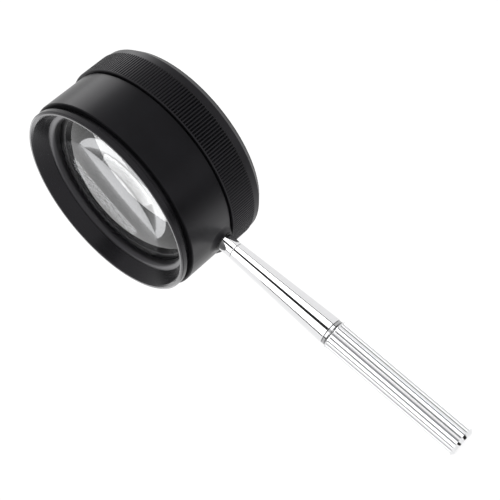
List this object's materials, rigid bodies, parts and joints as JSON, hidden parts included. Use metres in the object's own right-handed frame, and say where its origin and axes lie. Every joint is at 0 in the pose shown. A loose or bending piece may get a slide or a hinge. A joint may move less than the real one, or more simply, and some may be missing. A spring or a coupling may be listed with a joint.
{
  "type": "hand loupe",
  "caption": "Round black magnifier drum with a recessed thick lens, a knurled screw-on eye ring and a tapered, fluted bright metal handle screwed into its side.",
  "frame": {"origin": "on the optical axis, in the plane of the flat face at the eye end of the knurled ring", "axes": "+Z along the optical axis towards the recessed front rim, +X along the handle, away from the drum"},
  "size_m": [0.1442, 0.0618, 0.0303],
  "materials": {
    "barrel": "satin",
    "front_bezel": "satin",
    "knurled_ring": "satin",
    "retaining_ring": "matte",
    "front_lens": "polished",
    "rear_lens": "polished",
    "cushion": "matte",
    "washer": "matte",
    "shank": "polished",
    "collar": "polished",
    "grip": "polished",
    "end_cap": "polished"
  },
  "bodies": {
    "drum": {"barrel": "barrel", "front_bezel": "front_bezel", "front_retaining_ring": "retaining_ring", "front_lens": "front_lens", "front_lens_cushion": "cushion"},
    "rear_lens": {"rear_lens": "rear_lens"},
    "eye_ring": {"knurled_ring": "knurled_ring", "rear_retaining_ring": "retaining_ring"},
    "handle_washer": {"handle_washer": "washer"},
    "handle": {"handle_shank": "shank", "handle_collar": "collar", "handle_grip": "grip", "handle_end_cap": "end_cap"}
  },
  "joints": [
    {"name": "eye_ring_travel", "type": "slide", "parent": "drum", "child": "rear_lens", "axis": [0, 0, -1], "range_m": [0, 0.00375]},
    {"name": "eye_ring_turn", "type": "hinge", "parent": "rear_lens", "child": "eye_ring", "pos_m": [0, 0, 0], "axis": [0, 0, -1], "range_deg": [0, 1800]},
    {"name": "handle_travel", "type": "slide", "parent": "drum", "child": "handle_washer", "axis": [1, 0, 0], "range_m": [0, 0.0035]},
    {"name": "handle_turn", "type": "hinge", "parent": "handle_washer", "child": "handle", "pos_m": [0.0306, 0, 0.01555], "axis": [1, 0, 0], "range_deg": [0, 1800]}
  ],
  "couplings": [
    {"joint": "eye_ring_turn", "follows": "eye_ring_travel", "rad_per_m": 8377.6},
    {"joint": "handle_turn", "follows": "handle_travel", "rad_per_m": 8976}
  ]
}
